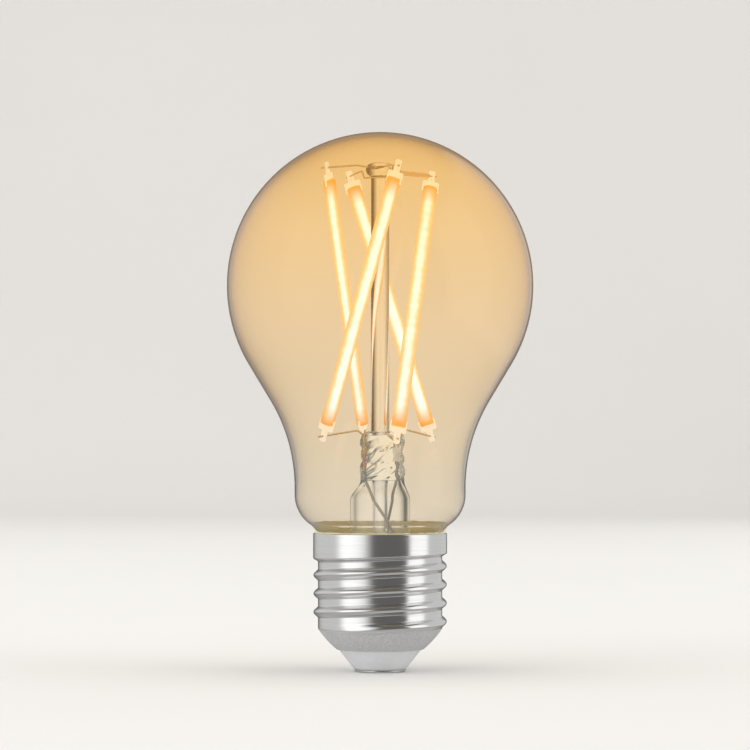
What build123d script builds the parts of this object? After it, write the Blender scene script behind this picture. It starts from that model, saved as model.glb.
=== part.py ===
from build123d import *
from math import atan2, cos, degrees, hypot, radians, sin, sqrt
import os

# Wi-Fi filament bulb, A60 glass on an E27 screw cap. Units are millimetres.
# Origin: centre of the contact disc's lower face. +Z runs up the axis, -Y is the front.

# ---- glass envelope
GLOBE_R = 30.05
GLOBE_Z = 75.7
WAIST_ANGLE = 31.0        # the straight flank below the globe, from the vertical
WAIST_ARC_R = 33.4        # hollow curve between the flank and the neck
NECK_R = 16.77
NECK_LOW_Z = 34.67        # where the neck turns in over its shoulder
SHOULDER_R = 7.07
SEAL_NECK_R = 12.4        # the plain tube the cap is cemented to
SEAL_FILLET_R = 2.8
GLASS_WALL = 0.8
GLASS_LOW_Z = 23.6

# ---- stem: flare, press, exhaust tube, pillar
FLARE_TUBE_R = 5.9
FLARE_WALL = 1.1
FLARE_TUBE_TOP_Z = 34.5
FLARE_FROM_Z = 26.0         # the tube is straight above this, flared below
PRESS_Z = 37.8
PRESS_X = 0.45
PRESS_TOP_Z = 47.2
EXHAUST_R = 1.5
EXHAUST_WALL = 0.4
EXHAUST_TIP_Z = 18.6
PILLAR_R = 1.8
PILLAR_TOP_Z = 96.2
BUTTON_Z = 97.1
BUTTON_R = 2.8
BUTTON_H = 2.8

# ---- filaments: four straight sticks, each end on a circle round the pillar
STICK_LENGTH = 50.0
STICK_W = 2.9
STICK_T = 2.4
STICK_CIRCLE_R = 10.7
STICK_TWIST = 92.0
STICKS = {                # name: (azimuth of the top end, mid height, roll about its own length)
    "a": (201.0, 72.5, 0.0),
    "b": (120.0, 72.25, 0.0),
    "c": (-75.0, 72.25, 0.0),
    "d": (21.0, 71.75, -50.0),
}
STRIP_W = 1.3
STRIP_T = 0.4
STRIP_LENGTH = 48.0
CHIP_COUNT = 28
CHIP_SIZE = (0.6, 0.25, 1.05)
TAB_HEAD_W = 3.32
TAB_HEAD_L = 1.1
TAB_TONGUE_W = 1.25
TAB_TONGUE_L = 3.4
TAB_EAR_L = 1.1           # the head's ears lie along the sides of the stick
TAB_EAR_W = 0.18
TAB_T = 0.28
TAB_WELD = 2.3            # how far past the stick's end the wire crosses the tongue
TAB_HOLE_AT = 1.6
TAB_HOLE_R = 0.18

# ---- wires
SUPPORT_WIRE_R = 0.18
SLEEVE_R = 0.45           # stiffening sleeve on the wire to stick d
SLEEVE_FROM = 0.5         # along the wire, from its last bend
SLEEVE_LENGTH = 6.7
OUTER_LEAD_R = 0.28
SEAL_WIRE_R = 0.24
HOOKUP_R = 0.4

B_D_ROUTE = [
    (-3.6, 5.6, 98.9), (-3.1, 1.2, 97.0), (-1.9, -1.95, 96.8), (1.9, -1.95, 96.9), (3.6, 0.2, 98.0),
]

# ---- screw cap, E27
THREAD_PITCH = 3.629
THREAD_ROOT_R = 12.2
THREAD_CREST_R = 13.1
RIDGE_ROUND_R = 0.96      # radius of the rolled crest
SHEET = 0.3
THREAD_BASE_Z = 9.85     # ridge height on the +X side, one turn above azimuth 0
THREAD_FROM = 300.0
THREAD_TO = 1500.0
THREAD_FADE = 60.0
COLLAR_R = 13.15
COLLAR_LOW_Z = 23.2
CAP_RIM_Z = 27.2
CONE_TOP_Z = 8.45
CONE_LOW_R = 8.5
CONE_LOW_Z = 4.35
CONE_ARC_R = 17.0

# ---- contact end
INSULATOR_TOP_Z = 5.4
INSULATOR_LOW_Z = 0.4
CONTACT_R = 5.0
RIVET_R = 1.1

# ---- driver, inside the cap
LINER_R = 11.6
LINER_WALL = 0.6
LINER_TOP_Z = 20.4
LEDGE_Z = 9.2
BOARD_R = 10.9
BOARD_T = 1.0
BOARD_TOP_Z = LEDGE_Z + BOARD_T
RADIO_Y = -5.0
RADIO_SIZE = (13.6, 0.8, 9.4)
CAPACITOR_AT = (-5.6, 3.0)
CAPACITOR_R = 3.1
CAPACITOR_H = 7.6
INDUCTOR_AT = (5.6, 3.4)
RESISTOR_Z = 7.55


def tube_z(radius, z_low, z_high, x=0.0, y=0.0):
    """A plain upright cylinder between two heights."""
    low = (Align.CENTER, Align.CENTER, Align.MIN)
    return Pos(x, y, z_low) * Cylinder(radius, z_high - z_low, align=low)


def box_at(size, centre):
    """A box of the given size about a centre point."""
    return Pos(*centre) * Box(*size)


def turned(lines):
    """Revolve a closed outline of radius (x) and height (z) lines about the axis."""
    return revolve(Plane.XZ * make_face(lines), axis=Axis.Z)


def turned_polygon(points):
    """Revolve a closed polygon of (radius, height) points."""
    return turned(Polyline(*points, close=True).edges())


def wire_along(points, radius, bend=0.7):
    """A round wire along straight runs with rounded bends."""
    path = FilletPolyline(*points, radius=bend)
    section = Plane(origin=path @ 0, z_dir=path % 0) * Circle(radius)
    return sweep(section, path=path, transition=Transition.RIGHT)


def first_solid(shape):
    """Unwrap a one-solid result."""
    return shape.solids().sort_by(SortBy.VOLUME)[-1]


# ---------------------------------------------------------------- glass envelope
def glass_outline(offset):
    """Outline of the glass, moved inward by offset: from the apex down to the cut edge."""
    lean = radians(WAIST_ANGLE)
    globe_r = GLOBE_R - offset
    waist_r = WAIST_ARC_R + offset
    neck_r = NECK_R - offset
    shoulder_r = SHOULDER_R - offset
    fillet_r = SEAL_FILLET_R + offset
    seal_r = SEAL_NECK_R - offset
    waist_x = NECK_R + WAIST_ARC_R
    # the flank touches the globe and the waist arc, both at the same lean
    flank_top = (globe_r * cos(lean), GLOBE_Z - globe_r * sin(lean))
    globe_reach = (GLOBE_R + WAIST_ARC_R - waist_x * cos(lean)) / sin(lean)
    waist_z = GLOBE_Z - globe_reach
    flank_low = (waist_x - waist_r * cos(lean), waist_z + waist_r * sin(lean))
    waist_mid = (waist_x - waist_r * cos(lean / 2), waist_z + waist_r * sin(lean / 2))
    shoulder_x = NECK_R - SHOULDER_R
    fillet_x = SEAL_NECK_R + SEAL_FILLET_R
    reach = SHOULDER_R + SEAL_FILLET_R
    swing = atan2(sqrt(reach ** 2 - (fillet_x - shoulder_x) ** 2), fillet_x - shoulder_x)
    fillet_z = NECK_LOW_Z - reach * sin(swing)
    shoulder_mid = (
        shoulder_x + shoulder_r * cos(swing / 2),
        NECK_LOW_Z - shoulder_r * sin(swing / 2),
    )
    shoulder_end = (shoulder_x + shoulder_r * cos(swing), NECK_LOW_Z - shoulder_r * sin(swing))
    fillet_mid = (fillet_x - fillet_r * cos(swing / 2), fillet_z + fillet_r * sin(swing / 2))
    top_mid_angle = radians(90 - WAIST_ANGLE) / 2
    globe_mid = (globe_r * cos(top_mid_angle), GLOBE_Z + globe_r * sin(top_mid_angle))
    return [
        ThreePointArc((0, GLOBE_Z + globe_r), globe_mid, flank_top),
        Line(flank_top, flank_low),
        ThreePointArc(flank_low, waist_mid, (neck_r, waist_z)),
        Line((neck_r, waist_z), (neck_r, NECK_LOW_Z)),
        ThreePointArc((neck_r, NECK_LOW_Z), shoulder_mid, shoulder_end),
        ThreePointArc(shoulder_end, fillet_mid, (seal_r, fillet_z)),
        Line((seal_r, fillet_z), (seal_r, GLASS_LOW_Z)),
    ]


def glass_solid(offset):
    """The solid bounded by the glass outline moved inward by offset."""
    lines = glass_outline(offset)
    low = (0, GLASS_LOW_Z)
    apex = lines[0] @ 0
    return turned(lines + [Line(lines[-1] @ 1, low), Line(low, apex)])


def glass_envelope():
    return glass_solid(0) - glass_solid(GLASS_WALL)


def capping_cement():
    """Cement that holds the glass in the cap, with its bead over the rim."""
    inside = COLLAR_R - SHEET
    ring = turned_polygon([
        (SEAL_NECK_R - GLASS_WALL, COLLAR_LOW_Z + 0.1), (inside, COLLAR_LOW_Z + 0.1), (inside, CAP_RIM_Z),
        (SEAL_NECK_R + 0.1, CAP_RIM_Z + 0.3), (SEAL_NECK_R - GLASS_WALL, CAP_RIM_Z),
    ])
    return ring - glass_solid(0)


# ---------------------------------------------------------------- stem
def stem_flare_tube():
    """Flared tube: sealed to the neck at the bottom, pinched towards the press."""
    edge_r = SEAL_NECK_R - GLASS_WALL
    bore = FLARE_TUBE_R - FLARE_WALL
    outer = [
        Line((edge_r, GLASS_LOW_Z), (edge_r, GLASS_LOW_Z + 1.0)),
        Spline(
            (edge_r, GLASS_LOW_Z + 1.0), (7.6, GLASS_LOW_Z + 1.35), (FLARE_TUBE_R, FLARE_FROM_Z),
            tangents=((-1, 0.04), (0, 1)),
        ),
        Line((FLARE_TUBE_R, FLARE_FROM_Z), (FLARE_TUBE_R, FLARE_TUBE_TOP_Z)),
        Line((FLARE_TUBE_R, FLARE_TUBE_TOP_Z), (bore, FLARE_TUBE_TOP_Z)),
        Line((bore, FLARE_TUBE_TOP_Z), (bore, FLARE_FROM_Z)),
        Spline(
            (bore, FLARE_FROM_Z), (6.6, GLASS_LOW_Z + 0.5), (9.6, GLASS_LOW_Z), tangents=((0, -1), (1, -0.2)),
        ),
        Line((9.6, GLASS_LOW_Z), (edge_r, GLASS_LOW_Z)),
    ]
    lower = turned(outer)
    skirt = pinch(FLARE_TUBE_R, (4.3, 2.75)) - pinch(bore, (3.2, 1.75))
    return lower + skirt


def pinch(round_r, flat):
    """Loft from the round tube to the flat oval at the foot of the press."""
    return loft([
        Pos(0, 0, FLARE_TUBE_TOP_Z) * Circle(round_r),
        Pos(PRESS_X * 0.5, 0, (FLARE_TUBE_TOP_Z + PRESS_Z) / 2) * Ellipse(
            (round_r + flat[0]) / 2 + 0.1, (round_r + flat[1]) / 2 + 0.1
        ),
        Pos(PRESS_X, 0, PRESS_Z) * Ellipse(*flat),
    ])


def stem_press_blank():
    """The pinched glass that grips the wires and carries the pillar."""
    widths = [(PRESS_Z, 4.3, 2.75), (40.2, 4.25, 2.35), (43.0, 4.15, 2.1), (45.3, 4.4, 2.4)]
    rings = [Pos(PRESS_X, 0, z) * Ellipse(a, b) for z, a, b in widths]
    body = loft(rings + [Pos(PRESS_X, 0, PRESS_TOP_Z - 0.7) * Ellipse(4.1, 2.3)])
    crown = loft([
        Pos(PRESS_X, 0, PRESS_TOP_Z - 0.7) * Ellipse(4.1, 2.3),
        Pos(PRESS_X, 0, PRESS_TOP_Z) * Ellipse(2.9, 2.0),
    ])
    return body + crown


def exhaust_tube():
    """Exhaust tube, open into the press and tipped off inside the cap."""
    outer = turned([
        Line((0, PRESS_Z), (EXHAUST_R, PRESS_Z)),
        Line((EXHAUST_R, PRESS_Z), (EXHAUST_R, EXHAUST_TIP_Z + 2.2)),
        Spline(
            (EXHAUST_R, EXHAUST_TIP_Z + 2.2), (0.85, EXHAUST_TIP_Z + 0.8), (0, EXHAUST_TIP_Z),
            tangents=((0, -1), (-1, -0.3)),
        ),
        Line((0, EXHAUST_TIP_Z), (0, PRESS_Z)),
    ])
    bore_r = EXHAUST_R - EXHAUST_WALL
    bore = tube_z(bore_r, EXHAUST_TIP_Z + 2.6, PRESS_Z)
    tip = Pos(0, 0, EXHAUST_TIP_Z + 2.6) * Sphere(bore_r)
    return outer - bore - tip


def pillar_rod():
    return tube_z(PILLAR_R, PRESS_TOP_Z - 0.8, PILLAR_TOP_Z)


def pillar_button():
    """The fused knob of glass on top of the pillar, with the short neck below it."""
    z = BUTTON_Z
    top = z + BUTTON_H
    return turned([
        Line((0, PILLAR_TOP_Z), (PILLAR_R, PILLAR_TOP_Z)),
        Line((PILLAR_R, PILLAR_TOP_Z), (PILLAR_R, z)),
        ThreePointArc((PILLAR_R, z), (BUTTON_R, z + BUTTON_H / 2), (1.7, top)),
        Line((1.7, top), (0, top)),
        Line((0, top), (0, PILLAR_TOP_Z)),
    ])


# ---------------------------------------------------------------- filaments
def stick_plane(name):
    """Frame at a stick's middle: x across its width, y through its thickness, z along it."""
    azimuth, mid_z, roll = STICKS[name]
    top = radians(azimuth)
    low = radians(azimuth - STICK_TWIST)
    rise = sqrt(STICK_LENGTH ** 2 - (2 * STICK_CIRCLE_R * sin(radians(STICK_TWIST / 2))) ** 2) / 2
    top_point = Vector(STICK_CIRCLE_R * cos(top), STICK_CIRCLE_R * sin(top), mid_z + rise)
    low_point = Vector(STICK_CIRCLE_R * cos(low), STICK_CIRCLE_R * sin(low), mid_z - rise)
    along = (top_point - low_point).normalized()
    outward = Vector(cos((top + low) / 2), sin((top + low) / 2), 0)
    across = outward.cross(along)
    width = across * cos(radians(roll)) + outward * sin(radians(roll))
    return Plane(origin=(top_point + low_point) * 0.5, x_dir=width, z_dir=along)


def weld_point(name, end):
    """Where the wire crosses a stick's tongue; end is +1 for the top and -1 for the bottom."""
    plane = stick_plane(name)
    return plane.origin + plane.z_dir * (end * (STICK_LENGTH / 2 + TAB_WELD))


def stick_strip():
    return Box(STRIP_W, STRIP_T, STRIP_LENGTH)


def stick_chips():
    """The row of light-emitting chips along the strip's front face."""
    pitch = (STRIP_LENGTH - 3.0) / (CHIP_COUNT - 1)
    y = STRIP_T / 2 + CHIP_SIZE[1] / 2
    first = -(STRIP_LENGTH - 3.0) / 2
    return [box_at(CHIP_SIZE, (0, y, first + i * pitch)) for i in range(CHIP_COUNT)]


def stick_tab():
    """Terminal at the top end: shank inside the stick, eared head, long tongue with a hole."""
    end = STICK_LENGTH / 2
    shank_from = STRIP_LENGTH / 2
    shank = box_at((STRIP_W, TAB_T, end - shank_from), (0, 0, (end + shank_from) / 2))
    head = box_at((TAB_HEAD_W, TAB_T, TAB_HEAD_L), (0, 0, end + TAB_HEAD_L / 2))
    reach = TAB_TONGUE_L - TAB_HEAD_L
    tongue = box_at((TAB_TONGUE_W, TAB_T, reach), (0, 0, end + TAB_HEAD_L + reach / 2))
    body = fillet((head + tongue).edges().filter_by(Axis.Y), 0.25)
    for side in (-1, 1):
        x = side * (TAB_HEAD_W - TAB_EAR_W) / 2
        body = body + box_at((TAB_EAR_W, TAB_T, TAB_EAR_L + 0.6), (x, 0, end + (0.6 - TAB_EAR_L) / 2))
    hole = Pos(0, 0, end + TAB_HOLE_AT) * Rot(90, 0, 0) * Cylinder(TAB_HOLE_R, 1.0)
    return shank + body - hole


def stick_phosphor():
    """The oval silicone and phosphor coat, round ended, hollow where the strip lies."""
    oval = extrude(Ellipse(STICK_W / 2, STICK_T / 2), STICK_LENGTH / 2, both=True)
    ends = oval.edges().filter_by(GeomType.ELLIPSE)
    return fillet(ends, 0.35)


def stick_parts(name, wires):
    """All the solids of one stick, placed; the wires pierce its tongues."""
    place = stick_plane(name).location
    tab = stick_tab()
    low_tab = Rot(180, 0, 0) * tab
    strip = stick_strip()
    chips = stick_chips()
    coat = stick_phosphor() - strip - tab - low_tab
    coat = coat - Compound(children=[chip.moved(Location()) for chip in chips])
    return {
        f"filament_{name}_phosphor": first_solid(place * coat),
        f"filament_{name}_strip": place * strip,
        f"filament_{name}_chips": Compound(children=[place * chip for chip in chips]),
        f"filament_{name}_top_tab": first_solid(place * tab - wires["top"]),
        f"filament_{name}_low_tab": first_solid(place * low_tab - wires["low"]),
    }


# ---------------------------------------------------------------- wires in the globe
def beyond(point, towards, distance):
    """The point carried on past itself, away from a second point."""
    direction = (point - Vector(*towards)).normalized()
    return point + direction * distance


def top_jumper_a_c():
    """Support wire through the button, joining the tops of sticks a and c."""
    route = [(-4.6, -2.0, 99.2), (-0.6, -0.7, 98.7), (1.8, -4.0, 99.0)]
    start = beyond(weld_point("a", 1), route[0], 1.2)
    end = beyond(weld_point("c", 1), route[-1], 1.0)
    return wire_along([start, *route, end], SUPPORT_WIRE_R)


def top_jumper_b_d():
    """Support wire fused into the front of the button's neck, joining the tops of sticks b and d."""
    start = beyond(weld_point("b", 1), B_D_ROUTE[0], 1.2)
    end = beyond(weld_point("d", 1), B_D_ROUTE[-1], 1.0)
    return wire_along([start, *B_D_ROUTE, end], SUPPORT_WIRE_R)


def jumper_sleeve_d():
    """Tube that stiffens the long free run of the jumper to stick d."""
    start = Vector(*B_D_ROUTE[-1])
    along = (weld_point("d", 1) - start).normalized()
    foot = Plane(origin=start + along * SLEEVE_FROM, z_dir=along)
    low = (Align.CENTER, Align.CENTER, Align.MIN)
    return foot * Cylinder(SLEEVE_R, SLEEVE_LENGTH, align=low)


def inner_leads():
    """The four wires from the press up to the sticks' lower tongues."""
    routes = {
        "a": [(-2.58, 0.18, 43.0), (-2.58, 0.18, 46.3), (-3.0, 3.4, 47.5)],
        "b": [(3.4, 0, 44.1), (3.4, 0, 46.2), (4.9, 0.9, 47.6)],
        "c": [(-2.92, -0.18, 43.0), (-2.92, -0.18, 46.2), (-4.4, -1.0, 47.4)],
        "d": [(2.7, 0, 44.1), (2.5, -0.2, 45.4), (1.3, -2.8, 46.7)],
    }
    wires = {}
    for name, points in routes.items():
        stub = beyond(weld_point(name, -1), points[-1], 1.1)
        wires[f"inner_lead_{name}"] = wire_along(points + [stub], SUPPORT_WIRE_R)
    return wires


def outer_lead_left():
    """From the seal, across the front of the exhaust tube, down to the driver board."""
    return wire_along([
        (-2.75, 0, 40.3), (-2.75, 0, 37.6), (-1.6, -2.3, 34.4), (2.6, -2.7, 27.6), (3.0, -2.7, 22.0),
        (3.0, -2.7, LEDGE_Z),
    ], OUTER_LEAD_R, 1.2)


def outer_lead_right():
    return wire_along([
        (3.05, 0, 41.2), (3.05, 0, 37.0), (1.5, 2.8, 28.6), (1.5, 2.8, LEDGE_Z),
    ], OUTER_LEAD_R, 2.0)


def seal_wire_left():
    return tube_z(SEAL_WIRE_R, 40.3, 43.0, x=-2.75)


def seal_foil_right():
    return box_at((1.3, 0.3, 2.9), (3.05, 0, 42.65))


# ---------------------------------------------------------------- screw cap
def cone_arc(offset):
    """Lower cone of the cap, moved inward by offset: (top point, mid point, low point)."""
    top = (THREAD_ROOT_R, CONE_TOP_Z)
    low = (CONE_LOW_R, CONE_LOW_Z)
    chord = hypot(top[0] - low[0], top[1] - low[1])
    drop = sqrt(CONE_ARC_R ** 2 - (chord / 2) ** 2)
    inward = ((low[1] - top[1]) / chord, (top[0] - low[0]) / chord)
    cx = (top[0] + low[0]) / 2 + inward[0] * drop
    cz = (top[1] + low[1]) / 2 + inward[1] * drop
    radius = CONE_ARC_R - offset
    side = THREAD_ROOT_R - offset
    start = (side, cz - sqrt(radius ** 2 - (side - cx) ** 2))
    middle = (cx - inward[0] * radius, cz - inward[1] * radius)
    end = (cx + (low[0] - cx) * radius / CONE_ARC_R, cz + (low[1] - cz) * radius / CONE_ARC_R)
    return start, middle, end


def cap_solid(offset, top_z):
    """The cap without its thread, filled in, moved inward by offset."""
    start, middle, end = cone_arc(offset)
    side = THREAD_ROOT_R - offset
    collar = COLLAR_R - offset
    step = COLLAR_LOW_Z - 0.9
    return turned([
        Line((0, end[1]), end),
        ThreePointArc(end, middle, start),
        Line(start, (side, step)),
        Line((side, step), (collar, COLLAR_LOW_Z)),
        Line((collar, COLLAR_LOW_Z), (collar, top_z)),
        Line((collar, top_z), (0, top_z)),
        Line((0, top_z), (0, end[1])),
    ])


def radial_plane(azimuth, z):
    """Plane through the axis at an azimuth: x outward, y up."""
    x_dir = (cos(radians(azimuth)), sin(radians(azimuth)), 0)
    z_dir = (sin(radians(azimuth)), -cos(radians(azimuth)), 0)
    return Plane(origin=(0, 0, z), x_dir=x_dir, z_dir=z_dir)


def ridge_face(base_r, offset):
    """Section of the rolled ridge, cut off flat at base_r."""
    centre_r = THREAD_CREST_R - RIDGE_ROUND_R
    radius = RIDGE_ROUND_R - offset
    half = sqrt(radius ** 2 - (centre_r - base_r) ** 2)
    arc = ThreePointArc((base_r, -half), (centre_r + radius, 0), (base_r, half))
    return make_face([arc, Line((base_r, half), (base_r, -half))])


def ridge_z(azimuth):
    return THREAD_BASE_Z + THREAD_PITCH * (azimuth - 360.0) / 360.0


def ridge_sweep(base_r, offset, azimuth, turn, sink):
    """Ridge along a helix, its far end sunk further into the wall."""
    rise = THREAD_PITCH * turn / 360.0
    lean = atan2(-sink, rise)
    path = Helix(THREAD_PITCH / cos(lean), rise, base_r, cone_angle=degrees(lean))
    path = path.rotate(Axis.Z, azimuth).moved(Location((0, 0, ridge_z(azimuth))))
    section = radial_plane(azimuth, ridge_z(azimuth)) * ridge_face(base_r, offset)
    return sweep(section, path=path, is_frenet=True)


def screw_shell():
    """Rolled sheet-metal cap, its thread pressed through the sheet."""
    turn = THREAD_TO - THREAD_FROM
    foot = THREAD_ROOT_R - 0.2
    outside = cap_solid(0, CAP_RIM_Z) + ridge_sweep(foot, 0, THREAD_FROM, turn, 0)
    outside = outside + ridge_sweep(foot, 0, THREAD_TO, THREAD_FADE, 1.0)
    hollow = cap_solid(SHEET, CAP_RIM_Z) + tube_z(cone_arc(SHEET)[2][0], 0, CONE_TOP_Z)
    groove = ridge_sweep(foot - SHEET, SHEET, THREAD_FROM + 4.0, turn - 8.0, 0)
    return outside - hollow - groove


def cap_insulator():
    """Insulating cone between the cap and its contact, fused in behind the cap's lip."""
    lip = cone_arc(SHEET)[2]
    cone = turned_polygon([
        (0, INSULATOR_LOW_Z), (CONTACT_R, INSULATOR_LOW_Z), (lip[0], lip[1]), (0, lip[1]),
    ])
    flange = cap_solid(SHEET, CAP_RIM_Z) & tube_z(11.0, lip[1], INSULATOR_TOP_Z)
    return cone + flange - tube_z(RIVET_R, 0, CONE_TOP_Z)


def end_contact():
    """Contact disc, slightly turned up at its edge, bored for the rivet."""
    disc = turned_polygon([
        (0, 0), (CONTACT_R - 0.5, 0), (CONTACT_R, 0.25), (CONTACT_R, INSULATOR_LOW_Z),
        (0, INSULATOR_LOW_Z),
    ])
    return disc - tube_z(RIVET_R, 0.15, 1.0)


def contact_rivet():
    """Hollow rivet from the disc through the insulator to the live lead."""
    top = INSULATOR_TOP_Z
    shank = tube_z(RIVET_R, 0.15, top)
    head = tube_z(1.8, top, top + 0.3)
    return shank + head - tube_z(HOOKUP_R, 1.5, top + 1.0)


# ---------------------------------------------------------------- driver
def driver_holder():
    """Insulating cup that keeps the driver off the metal cap."""
    inner = LINER_R - LINER_WALL
    base = INSULATOR_TOP_Z
    return turned_polygon([
        (2.1, base), (8.6, base), (LINER_R, 8.6), (LINER_R, LINER_TOP_Z),
        (inner, LINER_TOP_Z), (inner, LEDGE_Z), (inner - 0.8, LEDGE_Z), (inner - 0.8, 8.6),
        (8.2, base + LINER_WALL), (2.1, base + LINER_WALL),
    ])


def driver_board(holes):
    """Round board resting on the holder's ledge, slotted for the radio board's foot."""
    board = tube_z(BOARD_R, LEDGE_Z, BOARD_TOP_Z)
    slot = box_at((6.0, RADIO_SIZE[1], BOARD_T), (0, RADIO_Y, LEDGE_Z + BOARD_T / 2))
    board = board - slot
    for hole in holes:
        board = board - hole
    return board


def bridge_rectifier():
    """Four-legged rectifier under the board."""
    body = box_at((4.6, 3.9, 1.4), (-5.4, -2.2, LEDGE_Z - 0.2 - 0.7))
    body = chamfer(body.edges().filter_by(Axis.Z), 0.2)
    legs = [
        box_at((0.9, 0.7, 0.25), (-5.4 + sx * 2.7, -2.2 + sy * 1.3, LEDGE_Z - 0.125))
        for sx in (-1, 1) for sy in (-1, 1)
    ]
    for leg in legs:
        body = body + leg
    feet = [
        box_at((0.5, 0.7, 0.5), (-5.4 + sx * 2.5, -2.2 + sy * 1.3, LEDGE_Z - 0.4))
        for sx in (-1, 1) for sy in (-1, 1)
    ]
    for foot in feet:
        body = body + foot
    return body


def driver_chip():
    """Eight-legged driver controller under the board."""
    x, y = 5.2, -2.0
    body = box_at((3.8, 4.9, 1.4), (x, y, LEDGE_Z - 0.15 - 0.7))
    for side in (-1, 1):
        for i in range(4):
            leg_y = y + (i - 1.5) * 1.27
            body = body + box_at((0.7, 0.42, 0.2), (x + side * 2.5, leg_y, LEDGE_Z - 0.1))
            body = body + box_at((0.35, 0.42, 0.8), (x + side * 2.05, leg_y, LEDGE_Z - 0.4))
    return body


def smoothing_capacitor():
    """Aluminium can with its vent cross and rubber bung."""
    x, y = CAPACITOR_AT
    can = tube_z(CAPACITOR_R - 0.15, BOARD_TOP_Z, BOARD_TOP_Z + CAPACITOR_H, x, y)
    can = fillet(can.edges().group_by(Axis.Z)[-1], 0.4)
    top = BOARD_TOP_Z + CAPACITOR_H
    vent = box_at((3.4, 0.3, 0.2), (x, y, top - 0.05)) + box_at((0.3, 3.4, 0.2), (x, y, top - 0.05))
    return can - vent


def capacitor_sleeve():
    """Shrunk sleeve round the capacitor, turned in over its top edge."""
    x, y = CAPACITOR_AT
    top = BOARD_TOP_Z + CAPACITOR_H
    sleeve = tube_z(CAPACITOR_R, BOARD_TOP_Z, top + 0.12, x, y)
    window = tube_z(CAPACITOR_R - 0.75, top - 0.1, top + 1.0, x, y)
    can = tube_z(CAPACITOR_R - 0.15, BOARD_TOP_Z, top, x, y)
    can = fillet(can.edges().group_by(Axis.Z)[-1], 0.4)
    return sleeve - window - can


def inductor_core():
    """Ferrite drum with two flanges."""
    x, y = INDUCTOR_AT
    drum = tube_z(1.3, BOARD_TOP_Z, BOARD_TOP_Z + 6.0, x, y)
    low = tube_z(2.6, BOARD_TOP_Z, BOARD_TOP_Z + 0.9, x, y)
    high = tube_z(2.6, BOARD_TOP_Z + 5.1, BOARD_TOP_Z + 6.0, x, y)
    return drum + low + high


def inductor_winding():
    """Wound copper between the flanges, ribbed turn by turn."""
    x, y = INDUCTOR_AT
    turns = 10
    z_low = BOARD_TOP_Z + 0.9
    step = 4.2 / turns
    points = [(1.3, z_low)]
    for i in range(turns):
        points += [(2.15, z_low + i * step), (2.35, z_low + (i + 0.5) * step)]
    points += [(2.15, z_low + 4.2), (1.3, z_low + 4.2)]
    return Pos(x, y, 0) * turned_polygon(points)


def fusible_resistor():
    """Axial resistor lying under the board, its ends slightly swollen."""
    body = revolve(make_face(Polyline(
        (-3.0, 0), (-3.0, 0.8), (-2.6, 1.0), (-1.9, 1.0), (-1.7, 0.85), (1.7, 0.85),
        (1.9, 1.0), (2.6, 1.0), (3.0, 0.8), (3.0, 0), close=True,
    ).edges()), axis=Axis.X)
    return Pos(0, 4.4, RESISTOR_Z) * body


def radio_board():
    """Upright radio board standing in its slot in the driver board."""
    x, y, z = RADIO_SIZE
    plate = box_at((x, y, z), (0, RADIO_Y, BOARD_TOP_Z + z / 2))
    tongue = box_at((6.0, y, BOARD_T), (0, RADIO_Y, BOARD_TOP_Z - BOARD_T / 2))
    return plate + tongue


def radio_shield():
    """Pressed can over the radio, hollow, open towards its board."""
    y = RADIO_Y - RADIO_SIZE[1] / 2
    can = box_at((8.4, 1.3, 5.0), (0, y - 0.65, BOARD_TOP_Z + 3.2))
    can = fillet(can.faces().sort_by(Axis.Y)[0].edges(), 0.3)
    return can - box_at((8.0, 1.1, 4.6), (0, y - 0.55, BOARD_TOP_Z + 3.2))


def radio_antenna():
    """Printed meander aerial on the upper edge of the radio board."""
    y = RADIO_Y - RADIO_SIZE[1] / 2 - 0.04
    low = BOARD_TOP_Z + 6.4
    high = BOARD_TOP_Z + RADIO_SIZE[2] - 0.5
    trace = box_at((0.4, 0.08, high - low), (-5.6, y, (low + high) / 2))
    for i in range(7):
        x = -5.6 + i * 1.6
        edge_z = high if i % 2 == 0 else low
        trace = trace + box_at((2.0, 0.08, 0.4), (x + 0.8, y, edge_z))
        trace = trace + box_at((0.4, 0.08, high - low), (x + 1.6, y, (low + high) / 2))
    return trace


def board_passives():
    """Small chip resistors and capacitors round the board, each a separate solid."""
    size = (2.0, 1.2, 0.7)
    spots = [(-9.0 + 0.6, -2.6, 90), (-1.8, 7.6, 0), (1.6, 7.8, 0), (8.2, -1.6, 90), (-1.6, -2.4, 0)]
    top = [
        Pos(x, y, BOARD_TOP_Z + size[2] / 2) * Rot(0, 0, turn) * Box(*size)
        for x, y, turn in spots
    ]
    low = [
        Pos(x, y, LEDGE_Z - size[2] / 2) * Rot(0, 0, turn) * Box(*size)
        for x, y, turn in [(0.2, -6.4, 0), (-3.4, -6.6, 0), (3.4, 7.2, 0)]
    ]
    return top + low


def live_lead():
    """Lead from the resistor down into the contact rivet."""
    return wire_along([
        (-3.0, 4.4, RESISTOR_Z), (-4.6, 4.4, RESISTOR_Z), (-4.2, 1.4, 7.6), (0, 0, 7.4), (0, 0, 1.5),
    ], HOOKUP_R)


def feed_lead():
    """Lead from the resistor's other end up through the board."""
    return wire_along([
        (3.0, 4.4, RESISTOR_Z), (4.6, 4.4, RESISTOR_Z), (4.8, 6.0, RESISTOR_Z + 0.2),
        (4.8, 6.2, BOARD_TOP_Z),
    ], 0.3, 0.5)


def neutral_lead():
    """Lead from the board, over the holder's lip, to the inside of the cap."""
    wall = THREAD_ROOT_R - SHEET - HOOKUP_R - 0.02
    turn = atan2(-4.6, 8.6)
    over = LINER_TOP_Z + 1.0
    return wire_along([
        (8.6, -4.6, BOARD_TOP_Z), (8.6, -4.6, over), (wall * cos(turn), wall * sin(turn), over),
    ], HOOKUP_R)


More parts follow.
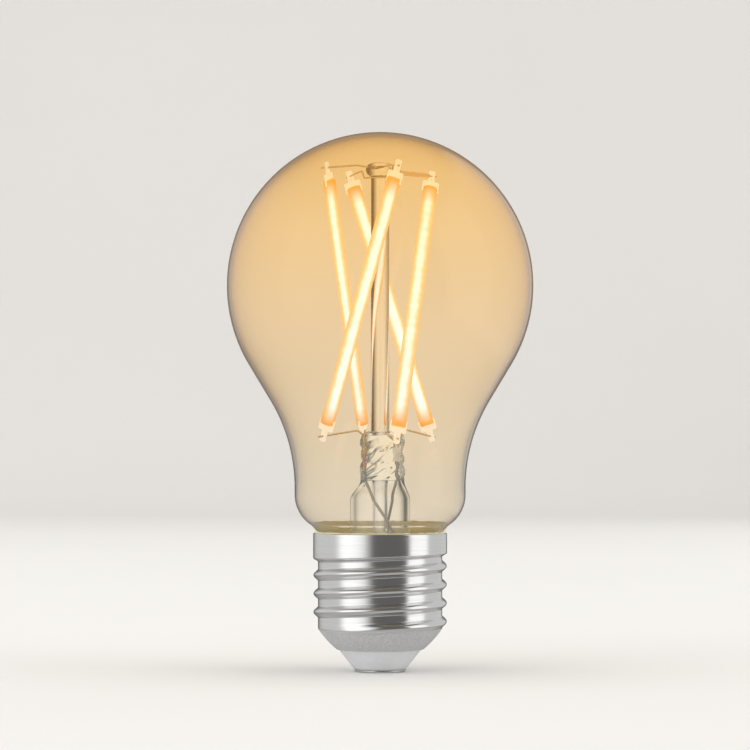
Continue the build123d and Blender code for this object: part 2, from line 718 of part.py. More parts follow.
def neutral_solder():
    """Blob that joins the neutral lead to the inside of the cap."""
    wall = THREAD_ROOT_R - SHEET
    turn = atan2(-4.6, 8.6)
    blob = Pos(wall * cos(turn), wall * sin(turn), LINER_TOP_Z + 1.0) * Sphere(0.9)
    return blob & tube_z(wall, LINER_TOP_Z, COLLAR_LOW_Z - 0.9)


def solder_dome(x, y, radius, wire):
    """A small cone of solder on the board's upper face, round a wire."""
    low = (Align.CENTER, Align.CENTER, Align.MIN)
    return Pos(x, y, BOARD_TOP_Z) * Cone(radius, 0.35, 0.7, align=low) - wire


def write(name, shape):
    """Write one node."""
    export_step(shape, f"parts/{name}.step")


def globe_nodes():
    """Glass, stem, wires and filaments."""
    envelope = glass_envelope()
    tops = {"ac": top_jumper_a_c(), "bd": top_jumper_b_d()}
    leads = inner_leads()
    lead_left = outer_lead_left()
    lead_right = outer_lead_right()
    seal = seal_wire_left()
    foil = seal_foil_right()
    rod = pillar_rod()
    press = stem_press_blank() - rod
    for metal in [*leads.values(), lead_left, lead_right, seal, foil]:
        press = press - metal
    flare = stem_flare_tube() - lead_left - lead_right
    nodes = {
        "glass_envelope": envelope,
        "stem_flare_tube": first_solid(flare),
        "stem_press": first_solid(press),
        "exhaust_tube": exhaust_tube(),
        "pillar_rod": rod,
        "pillar_button": first_solid(pillar_button() - tops["ac"] - tops["bd"]),
        "top_jumper_a_c": tops["ac"],
        "top_jumper_b_d": tops["bd"],
        "jumper_sleeve_d": first_solid(jumper_sleeve_d() - tops["bd"]),
        "outer_lead_left": lead_left,
        "outer_lead_right": lead_right,
        "seal_wire_left": seal,
        "seal_foil_right": foil,
    }
    nodes.update(leads)
    for name in STICKS:
        pair = tops["ac"] if name in "ac" else tops["bd"]
        nodes.update(stick_parts(name, {"top": pair, "low": leads[f"inner_lead_{name}"]}))
    return nodes


def cap_nodes(lead_left, lead_right):
    """Cap, contact, cement and the driver inside."""
    feed = feed_lead()
    neutral = neutral_lead()
    domes = [
        solder_dome(3.0, -2.7, 0.8, lead_left),
        solder_dome(1.5, 2.8, 0.8, lead_right),
        solder_dome(8.6, -4.6, 0.9, neutral),
    ]
    return {
        "screw_shell": first_solid(screw_shell()),
        "cap_insulator": first_solid(cap_insulator()),
        "end_contact": end_contact(),
        "contact_rivet": contact_rivet(),
        "capping_cement": first_solid(capping_cement()),
        "driver_holder": driver_holder(),
        "driver_board": first_solid(driver_board([lead_left, lead_right, feed])),
        "bridge_rectifier": bridge_rectifier(),
        "driver_chip": driver_chip(),
        "smoothing_capacitor": smoothing_capacitor(),
        "capacitor_sleeve": capacitor_sleeve(),
        "inductor_core": inductor_core(),
        "inductor_winding": inductor_winding(),
        "fusible_resistor": fusible_resistor(),
        "radio_board": radio_board(),
        "radio_shield": first_solid(radio_shield()),
        "radio_antenna": radio_antenna(),
        "board_passives": Compound(children=board_passives()),
        "live_lead": live_lead(),
        "feed_lead": feed,
        "neutral_lead": neutral,
        "solder_joints": Compound(children=[first_solid(dome) for dome in domes]),
        "neutral_solder": first_solid(neutral_solder() - neutral),
    }


def main():
    os.makedirs("parts", exist_ok=True)
    nodes = globe_nodes()
    nodes.update(cap_nodes(nodes["outer_lead_left"], nodes["outer_lead_right"]))
    for name, shape in nodes.items():
        write(name, shape)


main()
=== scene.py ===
import math

import bmesh
import bpy
from mathutils import Matrix, Vector, noise


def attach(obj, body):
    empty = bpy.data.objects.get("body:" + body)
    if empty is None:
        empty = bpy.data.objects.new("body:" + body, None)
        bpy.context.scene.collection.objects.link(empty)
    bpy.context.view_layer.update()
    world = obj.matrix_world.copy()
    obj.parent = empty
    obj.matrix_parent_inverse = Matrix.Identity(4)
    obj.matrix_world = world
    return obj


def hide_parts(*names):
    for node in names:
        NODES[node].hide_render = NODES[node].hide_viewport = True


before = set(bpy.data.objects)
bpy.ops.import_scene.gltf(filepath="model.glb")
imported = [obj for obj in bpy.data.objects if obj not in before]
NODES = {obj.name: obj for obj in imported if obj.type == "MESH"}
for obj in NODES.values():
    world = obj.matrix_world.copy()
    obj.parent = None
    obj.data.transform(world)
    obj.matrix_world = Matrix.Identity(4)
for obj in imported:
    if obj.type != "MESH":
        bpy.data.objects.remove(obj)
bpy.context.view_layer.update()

MM = 0.001
BODY = "root"

# ---------------------------------------------------------------- sizes, in mm, as in the CAD
GLOBE_R = 30.05
GLOBE_Z = 75.7
WAIST_ANGLE = 31.0
WAIST_ARC_R = 33.4
NECK_R = 16.77
NECK_LOW_Z = 34.67
SHOULDER_R = 7.07
SEAL_NECK_R = 12.4
SEAL_FILLET_R = 2.8
GLASS_WALL = 0.8
GLASS_LOW_Z = 23.6
FLARE_TUBE_R = 5.9
FLARE_WALL = 1.1
FLARE_TUBE_TOP_Z = 34.5
FLARE_FROM_Z = 26.0
PRESS_Z = 37.8
PRESS_X = 0.45
PRESS_TOP_Z = 47.2
EXHAUST_R = 1.5
EXHAUST_WALL = 0.4
EXHAUST_TIP_Z = 18.6
PILLAR_R = 1.8
BUTTON_Z = 97.1
BUTTON_R = 2.8
BUTTON_H = 2.8
STICK_LENGTH = 50.0
STICK_W = 2.9
STICK_T = 2.4
STICK_CIRCLE_R = 10.7
STICK_TWIST = 92.0
STICKS = {
    "a": (201.0, 72.5, 0.0),
    "b": (120.0, 72.25, 0.0),
    "c": (-75.0, 72.25, 0.0),
    "d": (21.0, 71.75, -50.0),
}
THREAD_PITCH = 3.629
THREAD_ROOT_R = 12.2
THREAD_CREST_R = 13.1
SHEET = 0.3
THREAD_BASE_Z = 9.85
THREAD_FROM = 300.0
THREAD_TO = 1500.0
COLLAR_R = 13.15
COLLAR_LOW_Z = 23.2
CAP_RIM_Z = 27.2
CONE_TOP_Z = 8.45
CONE_LOW_R = 8.5
CONE_LOW_Z = 4.35
CONE_ARC_R = 17.0
CONTACT_TOP_Z = 0.42
PRESS_LOW_HALF = (4.3, 2.75)
FLARE_BORE_HALF = (3.2, 1.75)
FLARE_EDGE_WALL = 0.9

# ---------------------------------------------------------------- sizes of the looks only, in mm
THIN_SHARE = 0.35  # of the wall is left at the neck, where the glass was heated and drawn
DRAWN_FROM_Z = 44.0  # below this the wall thins
DRAWN_OVER = 14.0
WETTED = 0.05  # cement bites this far into the glass, so no air film shows between them
BEAD_FRONT = 0.2  # height of the cement above the cap's rim at the front
BEAD_RISE = 1.45  # how much higher it stands at the back
BEAD_RAGGED = 0.15
BEAD_STEPS = 8
CHIP_PITCH = 1.67
CHIP_LUMP = 0.015


# ---------------------------------------------------------------- node helpers
class Shader:
    """A small builder for one node material."""

    def __init__(self, name):
        self.mat = bpy.data.materials.new(name)
        self.mat.use_nodes = True
        self.tree = self.mat.node_tree
        self.bsdf = self.tree.nodes["Principled BSDF"]
        self.out = self.tree.nodes["Material Output"]

    def add(self, kind, **values):
        node = self.tree.nodes.new(kind)
        for key, value in values.items():
            setattr(node, key, value)
        return node

    def link(self, source, target):
        self.tree.links.new(source, target)

    def set(self, **values):
        """Set sockets of the main shader: base_color= sets "Base Color", and so on."""
        for key, value in values.items():
            self.bsdf.inputs[key.replace("_", " ").title().replace("Ior", "IOR")].default_value = value

    def position(self):
        return self.add("ShaderNodeTexCoord").outputs["Object"]

    def axis(self, which):
        split = self.add("ShaderNodeSeparateXYZ")
        self.link(self.position(), split.inputs[0])
        return split.outputs[which]

    def noise(self, scale, detail=4.0, rough=0.55, stretch=None):
        """A noise value between 0 and 1; stretch scales the object coordinates first."""
        tex = self.add("ShaderNodeTexNoise")
        tex.inputs["Scale"].default_value = scale
        tex.inputs["Detail"].default_value = detail
        tex.inputs["Roughness"].default_value = rough
        source = self.position()
        if stretch:
            mapping = self.add("ShaderNodeMapping")
            mapping.inputs["Scale"].default_value = stretch
            self.link(source, mapping.inputs["Vector"])
            source = mapping.outputs[0]
        self.link(source, tex.inputs["Vector"])
        return tex.outputs["Fac"]

    def range(self, value, low, high, to_low, to_high):
        node = self.add("ShaderNodeMapRange")
        for index, number in enumerate((low, high, to_low, to_high)):
            node.inputs[index + 1].default_value = number
        self.link(value, node.inputs[0])
        return node.outputs[0]

    def ramp(self, value, stops):
        node = self.add("ShaderNodeValToRGB")
        band = node.color_ramp.elements
        while len(band) < len(stops):
            band.new(0.5)
        for element, (where, color) in zip(band, stops):
            element.position = where
            element.color = (*color, 1.0)
        self.link(value, node.inputs[0])
        return node.outputs[0]

    def mix(self, factor, first, second, blend="MIX"):
        """Mix two colours; each may be a socket or a plain colour."""
        node = self.add("ShaderNodeMix", data_type="RGBA", blend_type=blend)
        wanted = ((node.inputs[0], factor), (node.inputs[6], first), (node.inputs[7], second))
        for socket, value in wanted:
            if isinstance(value, bpy.types.NodeSocket):
                self.link(value, socket)
            elif isinstance(value, tuple):
                socket.default_value = (*value, 1.0)
            else:
                socket.default_value = value
        return node.outputs[2]

    def bump(self, height, strength, distance):
        node = self.add("ShaderNodeBump")
        node.inputs["Strength"].default_value = strength
        node.inputs["Distance"].default_value = distance
        self.link(height, node.inputs["Height"])
        self.link(node.outputs[0], self.bsdf.inputs["Normal"])

    def color(self, socket):
        self.link(socket, self.bsdf.inputs["Base Color"])

    def roughness(self, value, low, high):
        self.link(self.range(value, 0.3, 0.7, low, high), self.bsdf.inputs["Roughness"])

    def clear_shadows(self, tint):
        """Let light through a glass shell without a hard shadow behind it."""
        path = self.add("ShaderNodeLightPath")
        clear = self.add("ShaderNodeBsdfTransparent")
        clear.inputs[0].default_value = (*tint, 1.0)
        mix = self.add("ShaderNodeMixShader")
        self.link(path.outputs["Is Shadow Ray"], mix.inputs[0])
        self.link(self.bsdf.outputs[0], mix.inputs[1])
        self.link(clear.outputs[0], mix.inputs[2])
        self.link(mix.outputs[0], self.out.inputs[0])


# ---------------------------------------------------------------- materials
def amber_glass():
    """Clear glass: amber deepest at the crown and the grazing rim, and faintly lit from inside."""
    s = Shader("amber_glass")
    s.set(roughness=0.0, ior=1.34, transmission_weight=1.0)
    s.set(specular_tint=(1.0, 0.82, 0.55, 1.0))
    height = s.axis(2)
    level = s.range(height, 0.030, 0.106, 0.0, 1.0)
    wash = s.ramp(level, [
        (0.0, (0.993, 0.932, 0.825)), (0.18, (0.993, 0.913, 0.770)),
        (0.50, (0.995, 0.888, 0.700)), (0.82, (0.995, 0.845, 0.575)), (1.0, (0.990, 0.810, 0.480)),
    ])
    cloud = s.range(s.noise(14.0, 2.0), 0.3, 0.7, 0.0, 0.08)
    wash = s.mix(cloud, wash, (0.98, 0.84, 0.58))
    lit = s.ramp(level, [
        (0.1, (0.0, 0.0, 0.0)), (0.50, (0.024, 0.009, 0.001)), (1.0, (0.046, 0.018, 0.002)),
    ])
    s.link(lit, s.bsdf.inputs["Emission Color"])
    s.set(emission_strength=1.0)
    facing = s.add("ShaderNodeLayerWeight")
    facing.inputs[0].default_value = 0.5
    edge = s.add("ShaderNodeMath", operation="POWER")
    s.link(facing.outputs["Facing"], edge.inputs[0])
    edge.inputs[1].default_value = 7.0
    amount = s.add("ShaderNodeMath", operation="MULTIPLY")
    s.link(edge.outputs[0], amount.inputs[0])
    s.link(s.range(height, 0.030, 0.060, 0.35, 1.0), amount.inputs[1])
    s.color(s.mix(amount.outputs[0], wash, (0.58, 0.30, 0.06)))
    s.clear_shadows((0.97, 0.93, 0.85))
    return s.mat


def stem_glass(name, tint, wave, depth, lift=0.0):
    """Drawn clear glass with faint streaks and painted shade at its grazing edges; lift is the light it
    scatters from the sticks.
    """
    s = Shader(name)
    s.set(roughness=0.01, ior=1.5, transmission_weight=1.0)
    streak = s.noise(120.0, 3.0, 0.6, stretch=(1.0, 1.0, wave))
    body = s.mix(s.range(streak, 0.3, 0.7, 0.0, 0.5), tint, tuple(c * 0.93 for c in tint))
    # painted shade: the glass colour is darkened towards its grazing edges
    facing = s.add("ShaderNodeLayerWeight")
    facing.inputs[0].default_value = 0.5
    edge = s.add("ShaderNodeMath", operation="POWER")
    s.link(facing.outputs["Facing"], edge.inputs[0])
    edge.inputs[1].default_value = 3.0
    s.color(s.mix(edge.outputs[0], body, tuple(c * 0.35 for c in tint)))
    s.set(emission_color=(0.75, 0.90, 1.0, 1.0), emission_strength=lift)
    s.bump(streak, 0.25, depth)
    s.clear_shadows(tint)
    return s.mat


def metal(name, color, rough, brush=(1.0, 1.0, 1.0), scale=300.0, bump=0.05, metallic=1.0, glow=0.0):
    """Plain or wire metal; glow is what it catches from a lit stick beside it."""
    s = Shader(name)
    s.set(metallic=metallic)
    if glow:
        s.set(emission_color=(*color, 1.0), emission_strength=glow)
    grain = s.noise(scale, 5.0, 0.6, stretch=brush)
    s.color(s.mix(s.range(grain, 0.3, 0.7, 0.0, 0.6), color, tuple(c * 0.86 for c in color)))
    s.roughness(grain, rough * 0.8, rough * 1.25)
    s.bump(grain, bump, 0.0001)
    return s.mat


def plastic(name, color, rough, scale=400.0, bump=0.05, coat=0.0):
    s = Shader(name)
    s.set(coat_weight=coat)
    grain = s.noise(scale, 5.0, 0.6)
    s.color(s.mix(s.range(grain, 0.3, 0.7, 0.0, 0.5), color, tuple(c * 0.85 for c in color)))
    s.roughness(grain, rough * 0.85, min(1.0, rough * 1.15))
    s.bump(grain, bump, 0.0001)
    return s.mat


def phosphor():
    """Lit silicone: white-hot along the middle, amber at its edges and ends."""
    s = Shader("lit_phosphor")
    s.set(roughness=0.5)
    along = s.add("ShaderNodeMath", operation="ABSOLUTE")
    s.link(s.axis(2), along.inputs[0])
    end = s.range(along.outputs[0], 0.0212, 0.0246, 0.0, 1.0)
    facing = s.add("ShaderNodeLayerWeight")
    facing.inputs[0].default_value = 0.5
    grain = s.range(s.noise(500.0, 3.0), 0.3, 0.7, -0.03, 0.03)
    rim = s.add("ShaderNodeMath", operation="ADD")
    s.link(facing.outputs["Facing"], rim.inputs[0])
    s.link(grain, rim.inputs[1])
    glow = s.ramp(rim.outputs[0], [
        (0.0, (0.71, 0.86, 1.10)), (0.07, (0.69, 0.79, 0.92)), (0.20, (0.55, 0.48, 0.34)),
        (0.42, (0.44, 0.33, 0.20)), (1.0, (0.38, 0.25, 0.12)),
    ])
    glow = s.mix(end, glow, (0.46, 0.15, 0.01))
    s.link(glow, s.bsdf.inputs["Emission Color"])
    s.set(emission_strength=1.0)
    s.color(s.mix(s.range(grain, -0.03, 0.03, 0.0, 1.0), (0.97, 0.66, 0.28), (0.92, 0.58, 0.22)))
    return s.mat


def lit_chip():
    s = Shader("lit_chip")
    s.set(roughness=0.3, emission_strength=3.0)
    grain = s.noise(900.0, 2.0)
    s.link(s.mix(grain, (1.0, 0.80, 0.50), (1.0, 0.88, 0.66)), s.bsdf.inputs["Emission Color"])
    s.color(s.mix(grain, (0.9, 0.85, 0.6), (0.8, 0.75, 0.5)))
    return s.mat


def circuit(name, mask, copper):
    """Solder mask with the faint relief of the copper beneath."""
    s = Shader(name)
    s.set(roughness=0.35, coat_weight=0.3)
    tracks = s.add("ShaderNodeTexBrick")
    tracks.inputs["Scale"].default_value = 260.0
    tracks.inputs["Mortar Size"].default_value = 0.035
    s.link(s.position(), tracks.inputs["Vector"])
    lines = s.mix(s.noise(500.0), mask, tuple(c * 0.8 for c in mask))
    s.color(s.mix(tracks.outputs["Fac"], lines, copper))
    s.bump(tracks.outputs["Fac"], 0.2, 0.00005)
    return s.mat


def cement_look():
    """Dull cement; its faint glow is the light of the sticks that the glass carries down to it."""
    s = Shader("cement")
    s.set(emission_color=(0.90, 0.88, 0.50, 1.0), emission_strength=0.10)
    grain = s.noise(900.0, 6.0, 0.65)
    s.color(s.mix(s.noise(160.0, 3.0), (0.62, 0.57, 0.37), (0.76, 0.71, 0.50)))
    s.roughness(grain, 0.75, 0.95)
    s.bump(grain, 0.5, 0.0001)
    return s.mat


def ridged(name, color, pitch, rough):
    """Close-wound wire: fine ribs along the piece's height, with painted shade in the grooves between
    them.
    """
    s = Shader(name)
    s.set(metallic=0.8, roughness=rough, coat_weight=0.5)
    wave = s.add("ShaderNodeTexWave", bands_direction="Z")
    wave.inputs["Scale"].default_value = 2.0 * math.pi / (pitch * 20.0)
    s.link(s.position(), wave.inputs["Vector"])
    # painted shade: the colour is darker in the grooves between the ribs
    s.color(s.mix(wave.outputs["Fac"], tuple(c * 0.6 for c in color), color))
    s.bump(wave.outputs["Fac"], 0.4, 0.0001)
    return s.mat


# ---------------------------------------------------------------- mesh helpers
def mesh_object(name, verts, faces, mat, smooth=True):
    """A mesh from points in mm."""
    mesh = bpy.data.meshes.new(name)
    mesh.from_pydata([Vector(v) * MM for v in verts], [], faces)
    bm = bmesh.new()
    bm.from_mesh(mesh)
    bmesh.ops.remove_doubles(bm, verts=bm.verts, dist=1e-8)
    bmesh.ops.recalc_face_normals(bm, faces=bm.faces)
    bm.to_mesh(mesh)
    bm.free()
    obj = bpy.data.objects.new(name, mesh)
    bpy.context.scene.collection.objects.link(obj)
    mesh.polygons.foreach_set("use_smooth", [smooth] * len(mesh.polygons))
    mesh.set_sharp_from_angle(angle=math.radians(40))
    mesh.materials.append(mat)
    return obj


def grid_faces(rows, columns, wrap_rows=False):
    """Quads of a grid that closes round its columns, and round its rows if asked."""
    faces = []
    for i in range(rows if wrap_rows else rows - 1):
        for j in range(columns):
            a, b = i * columns, ((i + 1) % rows) * columns
            k = (j + 1) % columns
            faces.append((a + j, a + k, b + k, b + j))
    return faces


def lathe(name, outline, mat, segments=144, closed=True):
    """Turn a closed outline of (radius, height) points about the axis."""
    verts = []
    for radius, z in outline:
        for j in range(segments):
            angle = 2 * math.pi * j / segments
            verts.append((radius * math.cos(angle), radius * math.sin(angle), z))
    return mesh_object(name, verts, grid_faces(len(outline), segments, closed), mat)


def arc(cx, cy, radius, start, end, steps):
    """Points along an arc, angles in degrees."""
    points = []
    for i in range(steps + 1):
        angle = math.radians(start + (end - start) * i / steps)
        points.append((cx + radius * math.cos(angle), cy + radius * math.sin(angle)))
    return points


def line(first, last, steps):
    return [
        (first[0] + (last[0] - first[0]) * i / steps, first[1] + (last[1] - first[1]) * i / steps)
        for i in range(1, steps)
    ]


def smooth(t):
    t = min(1.0, max(0.0, t))
    return t * t * (3 - 2 * t)


def settle(obj, slot, *nodes):
    """Hand a finished piece to the frame: its body and the CAD nodes it stands for, which it hides; slot
    is not used.
    """
    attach(obj, BODY)
    if nodes:
        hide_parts(*nodes)
    return obj


# ---------------------------------------------------------------- glass envelope
def fillet_place():
    """Swing of the shoulder arc in degrees, and the centre of the fillet below it."""
    reach = SHOULDER_R + SEAL_FILLET_R
    centre = SEAL_NECK_R + SEAL_FILLET_R
    swing = math.acos((centre - NECK_R + SHOULDER_R) / reach)
    return math.degrees(swing), centre, NECK_LOW_Z - reach * math.sin(swing)


def glass_outline(offset):
    """The glass outline moved inward by offset, from the crown down to the cut edge."""
    lean = math.radians(WAIST_ANGLE)
    waist_x = NECK_R + WAIST_ARC_R
    waist_z = GLOBE_Z - (GLOBE_R + WAIST_ARC_R - waist_x * math.cos(lean)) / math.sin(lean)
    shoulder_x = NECK_R - SHOULDER_R
    swing, fillet_x, fillet_z = fillet_place()
    globe = arc(0, GLOBE_Z, GLOBE_R - offset, 89.9, -WAIST_ANGLE, 84)
    waist = arc(waist_x, waist_z, WAIST_ARC_R + offset, 180 - WAIST_ANGLE, 180, 24)
    shoulder = arc(shoulder_x, NECK_LOW_Z, SHOULDER_R - offset, 0, -swing, 14)
    fillet = arc(fillet_x, fillet_z, SEAL_FILLET_R + offset, 180 - swing, 180, 10)
    low = (SEAL_NECK_R - offset, GLASS_LOW_Z)
    return (
        globe + line(globe[-1], waist[0], 10) + waist + line(waist[-1], shoulder[0], 3)
        + shoulder + fillet[1:] + line(fillet[-1], low, 3) + [low]
    )


def bore_point(skin, wall):
    """Inner point across from an outer one: the wall is drawn thin where the neck was heated."""
    above = smooth((skin[1] - DRAWN_FROM_Z + DRAWN_OVER) / DRAWN_OVER)
    inside_cap = smooth((CAP_RIM_Z - 1.0 - skin[1]) / 1.5)
    share = THIN_SHARE + (1 - THIN_SHARE) * max(above, inside_cap)
    return tuple(a + (b - a) * share for a, b in zip(skin, wall))


def glass_envelope(mat):
    outside = glass_outline(0.0)
    inside = [bore_point(*pair) for pair in zip(outside, glass_outline(GLASS_WALL))]
    outline = outside + inside[::-1]
    obj = lathe("envelope", outline, mat, 192, closed=False)
    bm = bmesh.new()
    bm.from_mesh(obj.data)
    rims = [e for e in bm.edges if e.is_boundary]
    bmesh.ops.holes_fill(bm, edges=rims, sides=0)
    bmesh.ops.recalc_face_normals(bm, faces=bm.faces)
    bm.to_mesh(obj.data)
    bm.free()
    return settle(obj, "envelope_glass", "glass_envelope")


# ---------------------------------------------------------------- stem
def rings_mesh(name, rings, mat, segments=72, wall=None):
    """Stack of ovals (centre x, half width x, half width y, z); wall gives the inner ovals."""
    def ring(values):
        cx, a, b, z = values
        steps = [2 * math.pi * j / segments for j in range(segments)]
        return [(cx + a * math.cos(t), b * math.sin(t), z) for t in steps]
    path = rings + (wall[::-1] if wall else [])
    verts = [point for values in path for point in ring(values)]
    faces = grid_faces(len(path), segments, wall is not None)
    if wall is None:
        faces.append(tuple(range(segments)))
        faces.append(tuple(range(len(verts) - segments, len(verts))))
    return mesh_object(name, verts, faces, mat)


def flare_ring(z, inner):
    """Oval of the flared tube at a height; inner gives its bore."""
    edge = SEAL_NECK_R - GLASS_WALL - (FLARE_EDGE_WALL if inner else 0.0)
    tube = FLARE_TUBE_R - (FLARE_WALL if inner else 0.0)
    flat = FLARE_BORE_HALF if inner else PRESS_LOW_HALF
    down = min(1.0, max(0.0, (FLARE_FROM_Z - z) / (FLARE_FROM_Z - GLASS_LOW_Z - 0.2)))
    radius = tube + (edge - tube) * (1 - math.sqrt(max(0.0, 1 - down ** 1.7)))
    pinch = smooth((z - FLARE_TUBE_TOP_Z + 0.6) / (PRESS_Z - FLARE_TUBE_TOP_Z + 0.6))
    return (
        PRESS_X * pinch, radius + (flat[0] - radius) * pinch, radius + (flat[1] - radius) * pinch, z,
    )


def stem_flare(mat):
    heights = [GLASS_LOW_Z + (PRESS_Z - GLASS_LOW_Z) * (i / 60) for i in range(61)]
    outer = [flare_ring(z, False) for z in heights]
    inner = [flare_ring(z, True) for z in heights]
    return settle(rings_mesh("flare_tube", outer, mat, 96, inner), "stem_glass", "stem_flare_tube")


def press_half(z):
    """Half widths of the press at a height."""
    levels = [
        (PRESS_Z, *PRESS_LOW_HALF), (40.2, 4.2, 2.3), (43.0, 4.05, 2.1),
        (45.3, 4.4, 2.4), (46.5, 4.1, 2.3), (PRESS_TOP_Z, 2.9, 1.9),
    ]
    for low, high in zip(levels, levels[1:]):
        if z <= high[0] + 1e-6:
            t = smooth((z - low[0]) / (high[0] - low[0]))
            return low[1] + (high[1] - low[1]) * t, low[2] + (high[2] - low[2]) * t
    return levels[-1][1:]


def stem_press(mat):
    """Pinched glass: pressed flat, with folds and pulls left by the jaws."""
    rows = 70
    rings = []
    for i in range(rows + 1):
        z = PRESS_Z + (PRESS_TOP_Z - PRESS_Z) * i / rows
        a, b = press_half(z)
        rings.append((PRESS_X, a, b, z))
    obj = rings_mesh("press", rings, mat, 96)
    for vert in obj.data.vertices:
        place = vert.co / MM
        height = (place.z - PRESS_Z) / (PRESS_TOP_Z - PRESS_Z)
        fade = min(1.0, height * 6) * min(1.0, (1.02 - height) * 6)
        sway = noise.noise(Vector((place.x * 0.5, place.y * 0.4, place.z * 0.5)))
        fine = noise.noise(Vector((place.x * 1.1 + 7, place.y * 1.1, place.z * 1.6)))
        slant = (place.z - 0.8 * place.x) * 2.6 + 2.6 * sway + (0.0 if place.y < 0 else 1.9)
        folds = math.cos(slant) * smooth((46.2 - place.z) / 2.0)
        push = (0.30 * sway + 0.05 * fine + 0.20 * folds) * fade
        vert.co += Vector((place.x - PRESS_X, place.y * 1.6, 0)).normalized() * push * MM
    return settle(obj, "stem_glass", "stem_press")


def exhaust(mat):
    bore = EXHAUST_R - EXHAUST_WALL
    outer = [(0.01, EXHAUST_TIP_Z)]
    for degrees in range(10, 91, 10):
        t = math.radians(degrees)
        outer.append((EXHAUST_R * math.sin(t) ** 0.8, EXHAUST_TIP_Z + 2.2 * (1 - math.cos(t))))
    inner = arc(0, EXHAUST_TIP_Z + 2.6, bore, 0, -89.5, 10)
    outline = outer + line(outer[-1], (EXHAUST_R, PRESS_Z), 24)[1:] + [(EXHAUST_R, PRESS_Z)]
    outline += line((bore, PRESS_Z), inner[0], 24) + inner
    return settle(lathe("exhaust_glass", outline, mat, 48), "stem_glass", "exhaust_tube")


def pillar(mat):
    """Glass rod and the button melted onto its top: fused, so one skin covers both."""
    rod = [(0.01, PRESS_TOP_Z - 0.8)] + arc(PILLAR_R - 0.2, PRESS_TOP_Z - 0.6, 0.2, -90, 0, 4)
    rod += line(rod[-1], (PILLAR_R, BUTTON_Z - 0.2), 40) + [(PILLAR_R, BUTTON_Z - 0.2)]
    middle = BUTTON_Z + BUTTON_H / 2
    knob = [
        (BUTTON_R * math.cos(math.radians(t)) ** 0.5, middle + BUTTON_H / 2 * math.sin(math.radians(t)))
        for t in range(-66, 85, 6)
    ]
    outline = rod + knob + [(0.01, BUTTON_Z + BUTTON_H)]
    rod_and_button = lathe("pillar", outline, mat, 64)
    return settle(rod_and_button, "stem_glass", "pillar_rod", "pillar_button")


# ---------------------------------------------------------------- light sticks
def stick_matrix(name):
    """Place of a stick: x across its width, y through its thickness, z along it."""
    azimuth, mid_z, roll = STICKS[name]
    top = math.radians(azimuth)
    low = math.radians(azimuth - STICK_TWIST)
    chord = 2 * STICK_CIRCLE_R * math.sin(math.radians(STICK_TWIST / 2))
    rise = math.sqrt(STICK_LENGTH ** 2 - chord ** 2) / 2
    top_point = Vector((STICK_CIRCLE_R * math.cos(top), STICK_CIRCLE_R * math.sin(top), mid_z + rise))
    low_point = Vector((STICK_CIRCLE_R * math.cos(low), STICK_CIRCLE_R * math.sin(low), mid_z - rise))
    along = (top_point - low_point).normalized()
    outward = Vector((math.cos((top + low) / 2), math.sin((top + low) / 2), 0))
    across = outward.cross(along)
    turn = math.radians(roll)
    width = across * math.cos(turn) + outward * math.sin(turn)
    axes = Matrix((width, along.cross(width), along)).transposed().to_4x4()
    return Matrix.Translation((top_point + low_point) * 0.5 * MM) @ axes


def stick_coat(name, mat):
    """Moulded coat: oval, softly rounded at its ends, faintly lumpy over the chips."""
    half = STICK_LENGTH / 2
    corner = 0.55
    path = [(half - corner + corner * math.sin(math.radians(t)), 1 - math.cos(math.radians(t)))
            for t in range(90, -1, -15)]
    levels = [(z, corner * inset) for z, inset in path]
    count = 150
    body = [(half - corner - (STICK_LENGTH - 2 * corner) * i / count, 0.0) for i in range(1, count)]
    levels += body + [(-z, inset) for z, inset in levels[::-1]]
    rings = []
    for z, inset in levels:
        lump = CHIP_LUMP * math.cos(2 * math.pi * z / CHIP_PITCH) if abs(z) < 23 else 0.0
        rings.append((0, STICK_W / 2 - inset + lump, STICK_T / 2 - inset + lump, z))
    obj = rings_mesh(f"stick_{name}_coat", rings, mat, 40)
    obj.matrix_world = stick_matrix(name)
    return settle(obj, "phosphor", f"filament_{name}_phosphor")


# ---------------------------------------------------------------- screw cap
def cone_arc_centre():
    top = Vector((THREAD_ROOT_R, CONE_TOP_Z))
    low = Vector((CONE_LOW_R, CONE_LOW_Z))
    chord = (top - low).length
    drop = math.sqrt(CONE_ARC_R ** 2 - (chord / 2) ** 2)
    inward = Vector((low.y - top.y, top.x - low.x)) / chord
    return (top + low) / 2 + inward * drop


def shell_base(angle, z):
    """Radius of the cap without its thread; the collar's lower edge slants to let the thread in."""
    centre = cone_arc_centre()
    low = COLLAR_LOW_Z - 1.2 + 0.5 * math.cos(math.radians(angle))
    side = THREAD_ROOT_R + (COLLAR_R - THREAD_ROOT_R) * smooth((z - low) / 0.8)
    if z >= centre.y - math.sqrt(CONE_ARC_R ** 2 - (THREAD_ROOT_R - centre.x) ** 2):
        return side
    return centre.x + math.sqrt(max(0.0, CONE_ARC_R ** 2 - (z - centre.y) ** 2))


def ridge(angle, z):
    """Height of the rolled thread above the root, at an angle in degrees and a height."""
    reach = 1.15
    height = 0.0
    for turn in range(6):
        azimuth = angle + 360.0 * turn
        fade = smooth((azimuth - THREAD_FROM + 80) / 80) * smooth((THREAD_TO + 70 - azimuth) / 70)
        off = z - THREAD_BASE_Z - THREAD_PITCH * (azimuth - 360.0) / 360.0
        if abs(off) < reach:
            wave = (1 - (off / reach) ** 2) ** 1.5
            height = max(height, fade * (THREAD_CREST_R - THREAD_ROOT_R) * wave)
    return height


